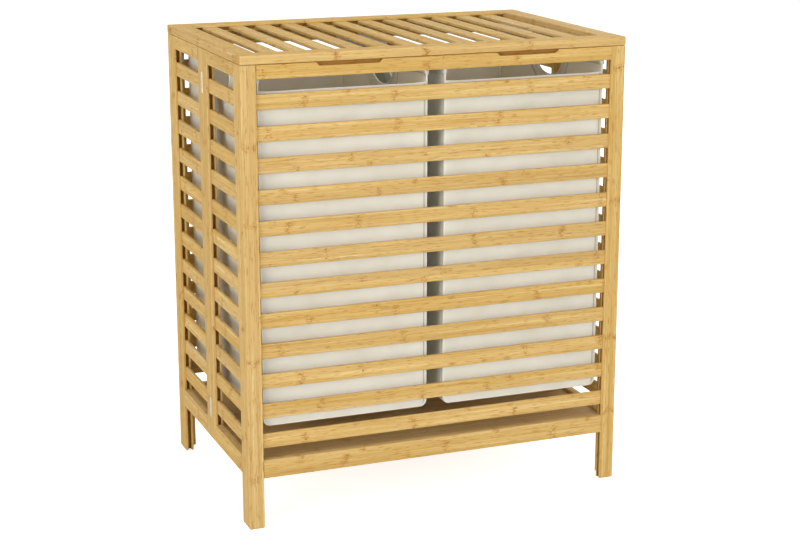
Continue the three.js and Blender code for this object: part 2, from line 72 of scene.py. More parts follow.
def extent(name, axis):
    """Where a node of the frame starts and ends along an axis."""
    return [getattr(corner, axis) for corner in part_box(name)]


front_face, front_inner = extent("front_post_left", "y")
back_inner, back_face = extent("back_post_left", "y")
post_inner_x, half_width = extent("front_post_right", "x")
seam_y = (front_face + back_face) / 2
half_depth, stock = back_face - seam_y, front_inner - front_face
slat_low, slat_high = extent("front_slat_01", "z")
slat_pitch = slat_low - extent("front_slat_02", "z")[0]
leg_y, leg_inner_y = extent("left_front_leg", "y")
leg_inner = seam_y - leg_inner_y
# The stiles at the seam are as wide as the legs
stile_inner = seam_y - extent("left_front_lattice", "y")[1] + leg_inner_y - leg_y
front_rail_top, back_rail_top = (extent(f"{wall}_top_rail", "z")[1] for wall in ("front", "back"))
lid_rail_y, lid_opening = extent("lid_stile_left", "y")[0], extent("lid_stile_left", "x")[1]
lid_low, lid_high = extent("lid_back_rail", "z")
# The lid's slats are one node, so their spacing can't be read from the frame
lid_slat_pitch, lid_slat_gap = 0.043385, 0.0194


# Nodes and colours


def srgb(code):
    """A hex colour as the linear values that a shader works in."""
    parts = [int(code[i : i + 2], 16) / 255 for i in (1, 3, 5)]
    return (*[c / 12.92 if c <= 0.04045 else ((c + 0.055) / 1.055) ** 2.4 for c in parts], 1.0)


def find_socket(sockets, key):
    """A socket by its number, its identifier or its name."""
    if isinstance(key, int):
        return sockets[key]
    return next((s for s in sockets if s.identifier == key), None) or sockets[key]


def add_node(tree, kind, settings=None, values=None, links=None, stops=()):
    """Adds a node: settings are its properties, values its inputs' numbers, links its inputs' sources, and stops the
    places and colours of a ramp in their order."""
    node = tree.nodes.new(kind)
    for name, value in (settings or {}).items():
        setattr(node, name, value)
    for name, value in (values or {}).items():
        find_socket(node.inputs, name).default_value = value
    for name, source in (links or {}).items():
        maker, key = source if isinstance(source, tuple) else (source, 0)
        tree.links.new(find_socket(maker.outputs, key), find_socket(node.inputs, name))
    for place, code in stops[1:-1]:
        node.color_ramp.elements.new(place).color = srgb(code)
    for index in (0, -1) if stops else ():
        end = node.color_ramp.elements[index]
        end.position, end.color = stops[index][0], srgb(stops[index][1])
    return node


def new_group(name, kind, inputs, outputs):
    """An empty group of nodes with its named inputs and outputs."""
    tree = bpy.data.node_groups.new(name, kind)
    for title, socket_kind, start in inputs:
        made = tree.interface.new_socket(title, in_out="INPUT", socket_type=socket_kind)
        if start is not None:
            made.default_value = start
    for title, socket_kind in outputs:
        tree.interface.new_socket(title, in_out="OUTPUT", socket_type=socket_kind)
    return tree


def new_material(name):
    """An empty material. Gives it and a way to add nodes to it."""
    material = bpy.data.materials.new(name)
    material.use_nodes = True
    material.node_tree.nodes.clear()
    return material, functools.partial(add_node, material.node_tree)


def streaks(make, place, lengthwise, crosswise, detail):
    """A noise that varies so many times in a metre lengthwise, along the X of its place, and so many crosswise."""
    stretched = make(
        "ShaderNodeVectorMath", {"operation": "MULTIPLY"}, {"Vector_001": (lengthwise, crosswise, crosswise)},
        {"Vector": place})
    return make("ShaderNodeTexNoise", None, {"Scale": 1.0, "Detail": detail}, {"Vector": stretched})


def end_material(make, height, strength, distance, values, links):
    """The surface of a material over its relief, whose height comes from a pattern."""
    relief = make("ShaderNodeBump", None, {"Strength": strength, "Distance": distance}, {"Height": height})
    surface = make("ShaderNodeBsdfPrincipled", None, values, {**links, "Normal": relief})
    make("ShaderNodeOutputMaterial", links={"Surface": surface})


# Bamboo

lath_width = 0.020
cane_joint_pitch = 0.18
# A joint's line waves up and down along the cane by so much, and its mark and its ridge reach so far from the line
joint_wave, mark_reach, ridge_reach = 0.022, 0.0095, 0.0022


def make_grain_group():
    """Split bamboo glued up into boards: fibres along the grain, a darker joint of the cane about every 180 mm, and
    pores on the ends. Grain is the place in metres with the fibres along X, Strip a number for each board."""
    tree = new_group(
        "bamboo_grain", "ShaderNodeTree",
        [("Grain", "NodeSocketVector", None), ("Strip", "NodeSocketVector", None), ("End", "NodeSocketFloat", 0.0)],
        [("Color", "NodeSocketColor"), ("Roughness", "NodeSocketFloat"), ("Height", "NodeSocketFloat")])
    make = functools.partial(add_node, tree)
    given = make("NodeGroupInput")
    # A board is glued up from laths 20 mm wide. Uneven factors give each its own tone, streaks and joints
    laths = make(
        "ShaderNodeVectorMath", {"operation": "MULTIPLY"}, {"Vector_001": (0.0, 1 / lath_width, 1 / lath_width)},
        {"Vector": (given, "Grain")})
    lath = make("ShaderNodeVectorMath", {"operation": "FLOOR"}, links={"Vector": laths})
    label = make(
        "ShaderNodeVectorMath", {"operation": "MULTIPLY_ADD"}, {"Vector_001": (0.0, 0.37, 0.11)},
        {"Vector": lath, "Vector_002": (given, "Strip")})
    strip = make("ShaderNodeTexWhiteNoise", {"noise_dimensions": "3D"}, links={"Vector": label})
    place = make(
        "ShaderNodeVectorMath", {"operation": "MULTIPLY_ADD"}, {"Vector_001": (3.1, 1.7, 2.3)},
        {"Vector": (strip, "Color"), "Vector_002": (given, "Grain")})
    tone = make("ShaderNodeSeparateColor", links={"Color": (strip, "Color")})
    along = make("ShaderNodeSeparateXYZ", links={"Vector": place})

    # A joint crosses each lath once in every 180 mm, at a place that differs from lath to lath, as a wavy line
    count = make("ShaderNodeMath", {"operation": "DIVIDE"}, {"Value_001": cane_joint_pitch}, {"Value": (along, "X")})
    cell = make("ShaderNodeMath", {"operation": "FLOOR"}, links={"Value": count})
    within = make("ShaderNodeMath", {"operation": "FRACT"}, links={"Value": count})
    count_label = make(
        "ShaderNodeMath", {"operation": "MULTIPLY_ADD"}, {"Value_001": 57.0},
        {"Value": (tone, "Red"), "Value_002": cell})
    jitter = make("ShaderNodeTexWhiteNoise", {"noise_dimensions": "1D"}, links={"W": count_label})
    middle = make(
        "ShaderNodeMath", {"operation": "MULTIPLY_ADD"}, {"Value_001": 0.6, "Value_002": 0.2},
        {"Value": (jitter, "Value")})
    off = make("ShaderNodeMath", {"operation": "SUBTRACT"}, links={"Value": within, "Value_001": middle})
    metres = make("ShaderNodeMath", {"operation": "MULTIPLY"}, {"Value_001": cane_joint_pitch}, {"Value": off})
    wave = streaks(make, place, 3.0, 95.0, 2.0)
    bent = make(
        "ShaderNodeMath", {"operation": "MULTIPLY_ADD"}, {"Value_001": joint_wave},
        {"Value": wave, "Value_002": metres})
    level = make("ShaderNodeMath", {"operation": "SUBTRACT"}, {"Value_001": joint_wave / 2}, {"Value": bent})
    distance = make("ShaderNodeMath", {"operation": "ABSOLUTE"}, links={"Value": level})
    zone, ridge = (
        make(
            "ShaderNodeMapRange", {"interpolation_type": "SMOOTHSTEP"},
            {"From Min": 0.0, "From Max": reach, "To Min": 1.0, "To Max": 0.0}, {"Value": distance})
        for reach in (mark_reach, ridge_reach))

    # Fibre bundles are about 0.5 mm across and are drawn 1 to 3 mm wide, so that they show. They swirl at a joint. The
    # tone is 34 % fibres, 28 % finer ones and 38 % broad bands
    swirl = make("ShaderNodeMath", {"operation": "MULTIPLY"}, links={"Value": zone, "Value_001": wave})
    swirled = make("ShaderNodeVectorMath", {"operation": "SCALE"}, {"Vector": (0.0, 2.0, 2.0)}, {"Scale": swirl})
    fibre_place = make(
        "ShaderNodeVectorMath", {"operation": "MULTIPLY"}, {"Vector_001": (5.0, 430.0, 430.0)}, {"Vector": place})
    fibre_bent = make(
        "ShaderNodeVectorMath", {"operation": "ADD"}, links={"Vector": fibre_place, "Vector_001": swirled})
    fibre = make("ShaderNodeTexNoise", None, {"Scale": 1.0, "Detail": 2.0, "Roughness": 0.55}, {"Vector": fibre_bent})
    coarse = make("ShaderNodeMath", {"operation": "MULTIPLY"}, {"Value_001": 0.34}, {"Value": fibre})
    threads = make(
        "ShaderNodeMath", {"operation": "MULTIPLY_ADD"}, {"Value_001": 0.28},
        {"Value": streaks(make, place, 14.0, 1050.0, 1.0), "Value_002": coarse})
    mixed = make(
        "ShaderNodeMath", {"operation": "MULTIPLY_ADD"}, {"Value_001": 0.38},
        {"Value": streaks(make, place, 2.2, 80.0, 2.0), "Value_002": threads})
    shades = make(
        "ShaderNodeValToRGB", links={"Fac": mixed},
        stops=((0.34, "#C09855"), (0.45, "#CEA966"), (0.55, "#D9B674"), (0.66, "#E8CE90")))
    value, strength = (
        make("ShaderNodeMapRange", None, {"To Min": least, "To Max": most}, {"Value": (tone, channel)})
        for channel, least, most in (("Green", 0.972, 1.028), ("Blue", 0.96, 1.05)))
    board = make("ShaderNodeHueSaturation", links={"Value": value, "Saturation": strength, "Color": shades})

    # The marks of the joints, broken up by speckles, and flecks between them
    speckled = make(
        "ShaderNodeMapRange", None, {"From Min": 0.46, "From Max": 0.62, "To Min": 0.1, "To Max": 1.0},
        {"Value": streaks(make, place, 260.0, 520.0, 2.0)})
    marks = make("ShaderNodeMath", {"operation": "MULTIPLY"}, links={"Value": zone, "Value_001": speckled})
    spots = make("ShaderNodeMath", {"operation": "MULTIPLY"}, {"Value_001": 0.7}, {"Value": marks})
    broken = make("ShaderNodeMath", {"operation": "MULTIPLY"}, links={"Value": ridge, "Value_001": speckled})
    mark_share = make(
        "ShaderNodeMath", {"operation": "MULTIPLY_ADD", "use_clamp": True}, {"Value_001": 0.22},
        {"Value": broken, "Value_002": spots})
    fleck_share = make(
        "ShaderNodeMapRange", None, {"From Min": 0.57, "From Max": 0.70, "To Min": 0.0, "To Max": 0.6},
        {"Value": streaks(make, place, 60.0, 640.0, 1.0)})
    colour = (board, "Color")
    for share, code in ((mark_share, "#A9702F"), (fleck_share, "#B07B34")):
        tinted = make(
            "ShaderNodeMix", {"data_type": "RGBA"}, {"B_Color": srgb(code)}, {"Factor_Float": share, "A_Color": colour})
        colour = (tinted, "Result_Color")
    pores = make(
        "ShaderNodeValToRGB", links={"Fac": streaks(make, place, 9.0, 900.0, 1.0)},
        stops=((0.42, "#B98A48"), (0.6, "#D8B16E")))
    ended = make(
        "ShaderNodeMix", {"data_type": "RGBA"}, None,
        {"Factor_Float": (given, "End"), "A_Color": colour, "B_Color": pores})
    sheen = make(
        "ShaderNodeMapRange", None, {"From Min": 0.3, "From Max": 0.7, "To Min": 0.78, "To Max": 0.66},
        {"Value": fibre})
    relief = make(
        "ShaderNodeMath", {"operation": "MULTIPLY_ADD"}, {"Value_001": 0.4}, {"Value": ridge, "Value_002": mixed})
    make("NodeGroupOutput", links={"Color": (ended, "Result_Color"), "Roughness": sheen, "Height": relief})
    return tree


grain_group = make_grain_group()

# How boards lie: the axes with that of their fibres first, and a corner and the size of the cells in which each board
# is one of its own. Cells 0.2 m deep part the front wall from the back one, cells 0.4 m wide the left side from the
# right one, and a cell that is far wide takes in the whole hamper
far = 9.0
row_low = slat_low - (slat_pitch - (slat_high - slat_low)) / 2
rows_across = ("XYZ", (-far / 2, -0.1, row_low), (far, 0.2, slat_pitch))
uprights = ("ZXY", (-0.2, front_inner, -far / 2), (0.4, (back_inner - front_inner) / 3, far))
side_rows = ("YXZ", (-0.2, seam_y, row_low), (0.4, far, slat_pitch))
side_stiles = ("ZXY", (-0.2, seam_y, -far / 2), (0.4, 0.2, far))
lid_boards = ("YXZ", (lid_opening + lid_slat_gap / 2, -far / 2, -far / 2), (lid_slat_pitch, far, far))
lid_rails = ("XYZ", (-far / 2, -0.1, -far / 2), (far, 0.2, far))
floor_strips = ("XYZ", (-far / 2, seam_y, -far / 2), (far, 0.02, far))
round_rods = ("YXZ", (0.0, -far / 2, -far / 2), (0.03, far, far))

# Spans where shade is painted into the grooves and notches by darkening the wood, as distances from the middle of the
# hamper: axis, middle and half width. A groove for slats is 8 mm deep, and its span starts just under the face, so that
# the face itself keeps its colour
groove_middle, groove_reach, groove_half_width = 0.0041, 0.0040, 0.0028
notch_shade = (("Y", half_depth - 0.0036, 0.0032), ("Z", front_rail_top - 0.003, 0.0029))
post_groove_shade = (("X", post_inner_x + groove_middle, groove_reach), ("Y", half_depth - stock / 2, groove_half_width))
leg_groove_shade = (("X", half_width - stock / 2, groove_half_width), ("Y", leg_inner + groove_middle, groove_reach))
stile_groove_shade = (("X", half_width - stock / 2, groove_half_width), ("Y", stile_inner - groove_middle, groove_reach))
lid_groove_shade = (
    ("Y", seam_y - lid_rail_y + groove_middle, groove_reach), ("Z", (lid_low + lid_high) / 2, groove_half_width))


def lay_boards(make, here, lay):
    """The place with the fibres along X, the board's cell, and how squarely the surface faces along the fibres."""
    order, corner, size = lay
    grain = make("ShaderNodeCombineXYZ", links={axis: (here["parts"], source) for axis, source in zip("XYZ", order)})
    moved = make(
        "ShaderNodeVectorMath", {"operation": "SUBTRACT"}, {"Vector_001": corner},
        {"Vector": (here["place"], "Object")})
    shared = make("ShaderNodeVectorMath", {"operation": "DIVIDE"}, {"Vector_001": size}, {"Vector": moved})
    cell = make("ShaderNodeVectorMath", {"operation": "FLOOR"}, links={"Vector": shared})
    facing = make("ShaderNodeMath", {"operation": "ABSOLUTE"}, links={"Value": (here["facing"], order[0])})
    return grain, cell, facing


def within_boxes(make, place, boxes):
    """1 inside any of the boxes, each of them a few spans, and 0 outside."""
    centred = make(
        "ShaderNodeVectorMath", {"operation": "SUBTRACT"}, {"Vector_001": (0.0, seam_y, 0.0)},
        {"Vector": (place, "Object")})
    mirrored = make("ShaderNodeVectorMath", {"operation": "ABSOLUTE"}, links={"Vector": centred})
    out = make("ShaderNodeSeparateXYZ", links={"Vector": mirrored})

    def combined(operation, sources):
        return functools.reduce(
            lambda a, b: make("ShaderNodeMath", {"operation": operation}, links={"Value": a, "Value_001": b}), sources)

    return combined("MAXIMUM", [
        combined("MULTIPLY", [
            make(
                "ShaderNodeMath", {"operation": "COMPARE"}, {"Value_001": middle, "Value_002": reach},
                {"Value": (out, axis)})
            for axis, middle, reach in box])
        for box in boxes])


def bamboo(name, lay, crossing=None, span=None, wash=None, shade_boxes=()):
    """Natural bamboo, planed and oiled: warm straw colour, fine streaks, hardly any highlight. Inside the span (axis,
    middle, half width) the boards lie the crossing way. Inside the shade boxes the surface is darkened as painted shade
    in the grooves and notches."""
    material, make = new_material(name)
    place = make("ShaderNodeTexCoord")
    parts = make("ShaderNodeSeparateXYZ", links={"Vector": (place, "Object")})
    normal = make("ShaderNodeSeparateXYZ", links={"Vector": (place, "Normal")})
    here = {"place": place, "parts": parts, "facing": normal}
    laid = lay_boards(make, here, lay)
    if crossing:
        axis, middle, reach = span
        inside = make(
            "ShaderNodeMath", {"operation": "COMPARE"}, {"Value_001": middle, "Value_002": reach},
            {"Value": (parts, axis)})
        crossed = zip(("Vector", "Vector", "Float"), laid, lay_boards(make, here, crossing))
        laid = [
            (make(
                "ShaderNodeMix", {"data_type": kind.upper()}, None,
                {"Factor_Float": inside, f"A_{kind}": one, f"B_{kind}": other}), f"Result_{kind}")
            for kind, one, other in crossed]
    grain, cell, facing = laid
    end = make("ShaderNodeMapRange", None, {"From Min": 0.8, "From Max": 0.95}, {"Value": facing})
    pattern = make("ShaderNodeGroup", {"node_tree": grain_group}, None, {"Grain": grain, "Strip": cell, "End": end})
    colour = (pattern, "Color")
    if wash:
        washed = make(
            "ShaderNodeMix", {"data_type": "RGBA"}, {"Factor_Float": 0.35, "B_Color": srgb(wash)}, {"A_Color": colour})
        colour = (washed, "Result_Color")
    if shade_boxes:
        # Painted shade: multiplying by this pale brown darkens the grooves and notches where shade falls
        painted_shade = make(
            "ShaderNodeMix", {"data_type": "RGBA", "blend_type": "MULTIPLY"}, {"B_Color": srgb("#D2BC9A")},
            {"Factor_Float": within_boxes(make, place, shade_boxes), "A_Color": colour})
        colour = (painted_shade, "Result_Color")
    end_material(
        make, (pattern, "Height"), 0.25, 0.0004, {"IOR": 1.5, "Specular IOR Level": 0.14},
        {"Base Color": colour, "Roughness": (pattern, "Roughness")})
    return material


stile_reach = stile_inner + 0.0001
post_reach = (half_width - post_inner_x) / 2
rail_reach = (lid_rail_y - front_face) / 2
wood = {
    "across": bamboo("bamboo_slats_and_rails", rows_across),
    "notched": bamboo("bamboo_notched_rail", rows_across, shade_boxes=(notch_shade,)),
    "upright": bamboo("bamboo_posts_and_legs", uprights, shade_boxes=(post_groove_shade, leg_groove_shade)),
    "side": bamboo("bamboo_side_panel", side_rows, side_stiles, ("Y", seam_y, stile_reach), shade_boxes=(stile_groove_shade,)),
    "back": bamboo(
        "bamboo_back_panel", rows_across, uprights, ("X", post_inner_x + post_reach, post_reach),
        shade_boxes=(post_groove_shade,)),
    "lid": bamboo("bamboo_lid_slats", lid_boards, lid_rails, ("Y", front_face + rail_reach, rail_reach)),
    "lid_stile": bamboo("bamboo_lid_stiles", lid_boards),
    "lid_rail": bamboo("bamboo_lid_rail", lid_rails, shade_boxes=(lid_groove_shade,)),
    "floor": bamboo("bamboo_strip_board", floor_strips, wash="#DDBD93"),
    "rod": bamboo("bamboo_dowel", round_rods, wash="#DFC28E"),
}


# Metal and cloth

# A wave texture of scale 1 repeats after this length, in metres, along an axis and along the diagonal
wave_length, diagonal_wave_length = 0.314, 0.31


def plated(name, dark, light):
    """Plated steel, barrel polished: a mirror blurred by fine rub lines, a little warm."""
    material, make = new_material(name)
    place = make("ShaderNodeTexCoord")
    # Rub lines are finer than the render shows and are drawn 1.5 mm apart
    lines = streaks(make, (place, "Object"), 120.0, 660.0, 3.0)
    shade = make("ShaderNodeValToRGB", links={"Fac": lines}, stops=((0.3, dark), (0.7, light)))
    dull = make(
        "ShaderNodeMapRange", None, {"From Min": 0.3, "From Max": 0.7, "To Min": 0.24, "To Max": 0.4},
        {"Value": lines})
    end_material(make, lines, 0.08, 0.0002, {"Metallic": 1.0}, {"Base Color": shade, "Roughness": dull})
    return material


def canvas(name, dark, light, rough, seam_shade=False, edge_shade=False):
    """Polyester canvas in plain weave with a coated back: matt and even, with a faint thread grid and soft mottling.
    Seam shade paints a dark line of shade in the crease of the stitching that runs beside each upright corner, and the
    tape's narrow shadow beside it; edge shade paints shade along the outer edge of a band."""
    material, make = new_material(name)
    place = make("ShaderNodeUVMap", {"uv_map": "cloth"})
    # The threads are 0.5 mm apart and are drawn 1.6 mm apart, so that they show
    warp, weft = (
        make(
            "ShaderNodeTexWave", {"bands_direction": axis, "wave_profile": "SIN"},
            {"Scale": wave_length / 0.0016, "Distortion": 0.6, "Detail": 1.0}, {"Vector": place})
        for axis in "XY")
    threads = make(
        "ShaderNodeMath", {"operation": "MULTIPLY"}, links={"Value": (warp, "Fac"), "Value_001": (weft, "Fac")})
    mottle = make("ShaderNodeTexNoise", None, {"Scale": 22.0, "Detail": 3.0}, {"Vector": place})
    slub = streaks(make, place, 40.0, 900.0, 2.0)
    summed = make(
        "ShaderNodeMath", {"operation": "MULTIPLY_ADD"}, {"Value_001": 0.3}, {"Value": threads, "Value_002": mottle})
    weave = make(
        "ShaderNodeMath", {"operation": "MULTIPLY_ADD"}, {"Value_001": 0.25}, {"Value": slub, "Value_002": summed})
    colour = (make("ShaderNodeValToRGB", links={"Fac": weave}, stops=((0.4, dark), (1.0, light))), "Color")
    if seam_shade:
        # The stitching runs 4.8 mm from the corner and draws the cloth into a crease, whose shade is painted as a dark
        # line, and the tape's narrow shadow is painted beside it
        side = make("ShaderNodeAttribute", {"attribute_name": "from_corner"})
        offset = make("ShaderNodeMath", {"operation": "SUBTRACT"}, {"Value_001": 0.0048}, {"Value": (side, "Fac")})
        gap = make("ShaderNodeMath", {"operation": "ABSOLUTE"}, links={"Value": offset})
        line, tape_shadow = (
            make(
                "ShaderNodeMapRange", {"interpolation_type": "SMOOTHSTEP"},
                {"From Min": full, "From Max": gone, "To Min": share, "To Max": 0.0}, {"Value": source})
            for full, gone, share, source in (
                (0.0003, 0.0012, 0.62, gap), (0.0036, 0.0051, 0.05, (side, "Fac"))))
        both = make(
            "ShaderNodeMath", {"operation": "ADD", "use_clamp": True}, links={"Value": line, "Value_001": tape_shadow})
        # Painted shade: this grey-brown is mixed in along the seam's crease and as the tape's shadow
        seam_shaded = make(
            "ShaderNodeMix", {"data_type": "RGBA"}, {"B_Color": srgb("#8E8670")},
            {"Factor_Float": both, "A_Color": colour})
        colour = (seam_shaded, "Result_Color")
    if edge_shade:
        # Painted shade: the outer edge of the facing band is darkened as the shadow of its raised edge
        down = make("ShaderNodeSeparateXYZ", links={"Vector": place})
        fold = make(
            "ShaderNodeMapRange", {"interpolation_type": "SMOOTHSTEP"},
            {"From Min": 0.0009, "From Max": 0.0022, "To Min": 0.5, "To Max": 0.0}, {"Value": (down, "Y")})
        edge_shaded = make(
            "ShaderNodeMix", {"data_type": "RGBA"}, {"B_Color": srgb("#8A8068")},
            {"Factor_Float": fold, "A_Color": colour})
        colour = (edge_shaded, "Result_Color")
    end_material(
        make, weave, 0.18, 0.0003, {"Roughness": rough, "IOR": 1.46, "Sheen Weight": 0.12, "Sheen Roughness": 0.5},
        {"Base Color": colour})
    return material


def twisted(name, dark, light, pitch):
    """Cotton tape or thread: a diagonal twist of fine yarns, matt. The yarns are about 0.4 mm apart and are drawn a
    pitch apart, so that they show."""
    material, make = new_material(name)
    place = make("ShaderNodeTexCoord")
    twist = make(
        "ShaderNodeTexWave", {"bands_direction": "DIAGONAL"},
        {"Scale": diagonal_wave_length / pitch, "Distortion": 0.4}, {"Vector": (place, "Object")})
    soil = make("ShaderNodeTexNoise", None, {"Scale": 90.0, "Detail": 2.0}, {"Vector": (place, "Object")})
    share = make(
        "ShaderNodeMath", {"operation": "MULTIPLY_ADD"}, {"Value_001": 0.5},
        {"Value": (twist, "Fac"), "Value_002": soil})
    shade = make("ShaderNodeValToRGB", links={"Fac": share}, stops=((0.4, dark), (0.95, light)))
    end_material(
        make, (twist, "Fac"), 0.3, 0.0002, {"Roughness": 0.8, "Sheen Weight": 0.15}, {"Base Color": shade})
    return material


nickel = plated("nickel_plated_steel", "#DACFB8", "#EFE6D2")
zinc = plated("zinc_plated_steel", "#A3A19B", "#C0BDB6")
bag_cloth = canvas("coated_canvas", "#DEDBCC", "#ECEADE", 0.86, seam_shade=True)
# The inside of the bag: the same canvas, its coated back painted lighter than the outside to stand in for light inside
# the bag
lining_painted_light = canvas("canvas_coated_back_painted_light", "#F4EAD0", "#FAF4E4", 0.75, seam_shade=True)
facing_cloth = canvas("canvas_facing", "#F0E6CF", "#F7F0E0", 0.8, edge_shade=True)
edge_tape = twisted("cotton_edge_tape", "#EBE6D8", "#F8F4E9", 0.0015)
thread = twisted("polyester_thread", "#D8D2C2", "#EAE5D8", 0.0009)

# A node takes the first finish that its name fits
finishes = {
    "*_fold_hinge_*": nickel, "*hinge*": zinc, "*_rod_*": wood["rod"], "*_bag": bag_cloth,
    "*_post_*": wood["upright"], "*_leg": wood["upright"], "front_top_rail": wood["notched"],
    "lid_back_rail": wood["lid_rail"], "*_rail": wood["across"], "front_slat_*": wood["across"],
    "base_ledge_*": wood["across"], "base_board": wood["floor"], "back_lattice": wood["back"],
    "lid_lattice": wood["lid"], "*_lattice": wood["side"], "lid_stile_*": wood["lid_stile"],
}
for name, node in nodes.items():
    chosen = next(finish for pattern, finish in finishes.items() if fnmatch.fnmatch(name, pattern))
    for index in range(len(node.data.materials)):
        node.data.materials[index] = chosen


# What repeats or follows an edge


def start_tree(name, inputs):
    """A tree that takes geometry, what else is named and a finish. Gives it, a way to add nodes, and what it takes."""
    tree = new_group(
        name, "GeometryNodeTree",
        [("Geometry", "NodeSocketGeometry", None), *inputs, ("Finish", "NodeSocketMaterial", None)],
        [("Geometry", "NodeSocketGeometry")])
    make = functools.partial(add_node, tree)
    return tree, make, make("NodeGroupInput")


def end_tree(make, given, geometry):
    """Makes real what a tree has laid, and gives it its finish."""
    plain = make("GeometryNodeRealizeInstances", links={"Geometry": geometry})
    coated = make("GeometryNodeSetMaterial", links={"Geometry": plain, "Material": (given, "Finish")})
    make("NodeGroupOutput", links={"Geometry": coated})


def make_tape_tree():
    """A round bound edge along each line."""
    tree, make, given = start_tree(
        "bound_edge", [("Edge radius", "NodeSocketFloat", 0.0011), ("Sides", "NodeSocketInt", 8)])
    path = make("GeometryNodeMeshToCurve", links={"Mesh": (given, "Geometry")})
    section = make(
        "GeometryNodeCurvePrimitiveCircle", {"mode": "RADIUS"},
        links={"Resolution": (given, "Sides"), "Radius": (given, "Edge radius")})
    tube = make("GeometryNodeCurveToMesh", None, {"Fill Caps": True}, {"Curve": path, "Profile Curve": section})
    smooth = make("GeometryNodeSetShadeSmooth", links={"Geometry": tube})
    end_tree(make, given, smooth)
    return tree


def make_stitch_tree():
    """Short stitches at an even pitch along each line, each a little longer or shorter."""
    tree, make, given = start_tree("stitched_line", [
        ("Pitch", "NodeSocketFloat", 0.0045), ("Stitch length", "NodeSocketFloat", 0.003),
        ("Thread radius", "NodeSocketFloat", 0.0004), ("Seed", "NodeSocketInt", 7)])
    path = make("GeometryNodeMeshToCurve", links={"Mesh": (given, "Geometry")})
    spots = make("GeometryNodeCurveToPoints", {"mode": "LENGTH"}, None, {"Curve": path, "Length": (given, "Pitch")})
    stitch = make(
        "GeometryNodeMeshCylinder", {"fill_type": "NGON"}, {"Vertices": 6},
        {"Radius": (given, "Thread radius"), "Depth": (given, "Stitch length")})
    size = make(
        "FunctionNodeRandomValue", {"data_type": "FLOAT"}, {"Min_001": 0.85, "Max_001": 1.1}, {"Seed": (given, "Seed")})
    laid = make("GeometryNodeInstanceOnPoints", links={
        "Points": spots, "Instance": stitch, "Rotation": (spots, "Rotation"), "Scale": (size, "Value_001")})
    end_tree(make, given, laid)
    return tree


def make_screw_tree():
    """A screw head on each point, turned to the point's facing and left at any angle."""
    tree, make, given = start_tree("screw_heads", [
        ("Head", "NodeSocketObject", None), ("Head size", "NodeSocketFloat", 1.0), ("Seed", "NodeSocketInt", 3)])
    head = make("GeometryNodeObjectInfo", {"transform_space": "ORIGINAL"}, None, {"Object": (given, "Head")})
    facing = make("GeometryNodeInputNamedAttribute", {"data_type": "FLOAT_VECTOR"}, {"Name": "facing"})
    turned = make("FunctionNodeAlignRotationToVector", {"axis": "Z"}, None, {"Vector": (facing, "Attribute")})
    spin = make(
        "FunctionNodeRandomValue", {"data_type": "FLOAT"}, {"Min_001": 0.0, "Max_001": 1.5}, {"Seed": (given, "Seed")})
    spun = make("ShaderNodeCombineXYZ", links={"Z": (spin, "Value_001")})
    angle = make(
        "FunctionNodeRotateRotation", {"rotation_space": "LOCAL"}, None, {"Rotation": turned, "Rotate By": spun})
    laid = make("GeometryNodeInstanceOnPoints", links={
        "Points": (given, "Geometry"), "Instance": (head, "Geometry"), "Rotation": angle,
        "Scale": (given, "Head size")})
    end_tree(make, given, laid)
    return tree


tape_tree, stitch_tree, screw_tree = make_tape_tree(), make_stitch_tree(), make_screw_tree()


def new_piece(name, mesh):
    """An object at the origin with its place in its mesh."""
    piece = bpy.data.objects.new(name, mesh)
    bpy.context.scene.collection.objects.link(piece)
    return piece


def grow(name, source_mesh, tree, inputs):
    """A plain mesh piece that a Geometry Nodes tree makes from lines or points."""
    source = new_piece(name + "_source", source_mesh)
    step = source.modifiers.new("grow", "NODES")
    step.node_group = tree
    for item in tree.interface.items_tree:
        if item.in_out == "INPUT" and item.name in inputs:
            step[item.identifier] = inputs[item.name]
    depsgraph = bpy.context.evaluated_depsgraph_get()
    mesh = bpy.data.meshes.new_from_object(source.evaluated_get(depsgraph), depsgraph=depsgraph)
    source.modifiers.clear()
    bpy.data.objects.remove(source)
    return new_piece(name, mesh)


def lines_mesh(name, lines, closed=False):
    """Lines as a mesh of edges. Each line is its points, and closed joins its last to its first."""
    points, edges = [], []
    for line in lines:
        start = len(points)
        points.extend(line)
        edges.extend((start + i, start + i + 1) for i in range(len(line) - 1))
        if closed:
            edges.append((len(points) - 1, start))
    mesh = bpy.data.meshes.new(name)
    mesh.from_pydata([tuple(p) for p in points], edges, [])
    return mesh


def quads(levels, count, closed):
    """Faces between rows of points, each of the same count, and closed where a row's end meets its start."""
    return [
        (low + i, low + (i + 1) % count, low + count + (i + 1) % count, low + count + i)
        for low in range(0, (levels - 1) * count, count) for i in range(count if closed else count - 1)]


# Bags

cloth_thickness = 0.0012
facing_thickness = 0.0007
facing_gap = 0.0003
corner_radius = 0.004
bottom_radius = 0.011
bottom_sag = 0.0006
sleeve_radius = 0.006
# How far under the rods' axes the sleeves' seams, the front rims and the lowest points of the hand holes lie
seam_drop = 0.0150
front_drop = 0.0301
grip_drop = 0.057
grip_half_width = 0.050
grip_half_height = 0.030
facing_width = 0.019
rim_climb = 0.0012
thread_proud = 0.0001
# The way that each wall runs, from the front wall anticlockwise from above. The one before it is the way it faces
walls = ((1, 0), (0, 1), (-1, 0), (0, -1))
end_walls, side_walls = (0, 2), (1, 3)
# An upright line of a bag's shell: its wall, its place along the wall or its share of the corner's turn, the height of
# its top, and its distance from the corner at the wall's end
Column = collections.namedtuple("Column", "wall along share top from_corner")


def eased(share):
    """0 to 1 with a soft start and a soft end."""
    share = min(1.0, max(0.0, share))
    return share * share * (3 - 2 * share)


def even(start, end, count):
    """Values at even steps from start to end, both included."""
    return [start + (end - start) * i / count for i in range(count + 1)]


def lengths_along(line):
    """How far along a line each of its points lies."""
    lengths = [0.0]
    for a, b in zip(line, line[1:]):
        lengths.append(lengths[-1] + (b - a).length)
    return lengths


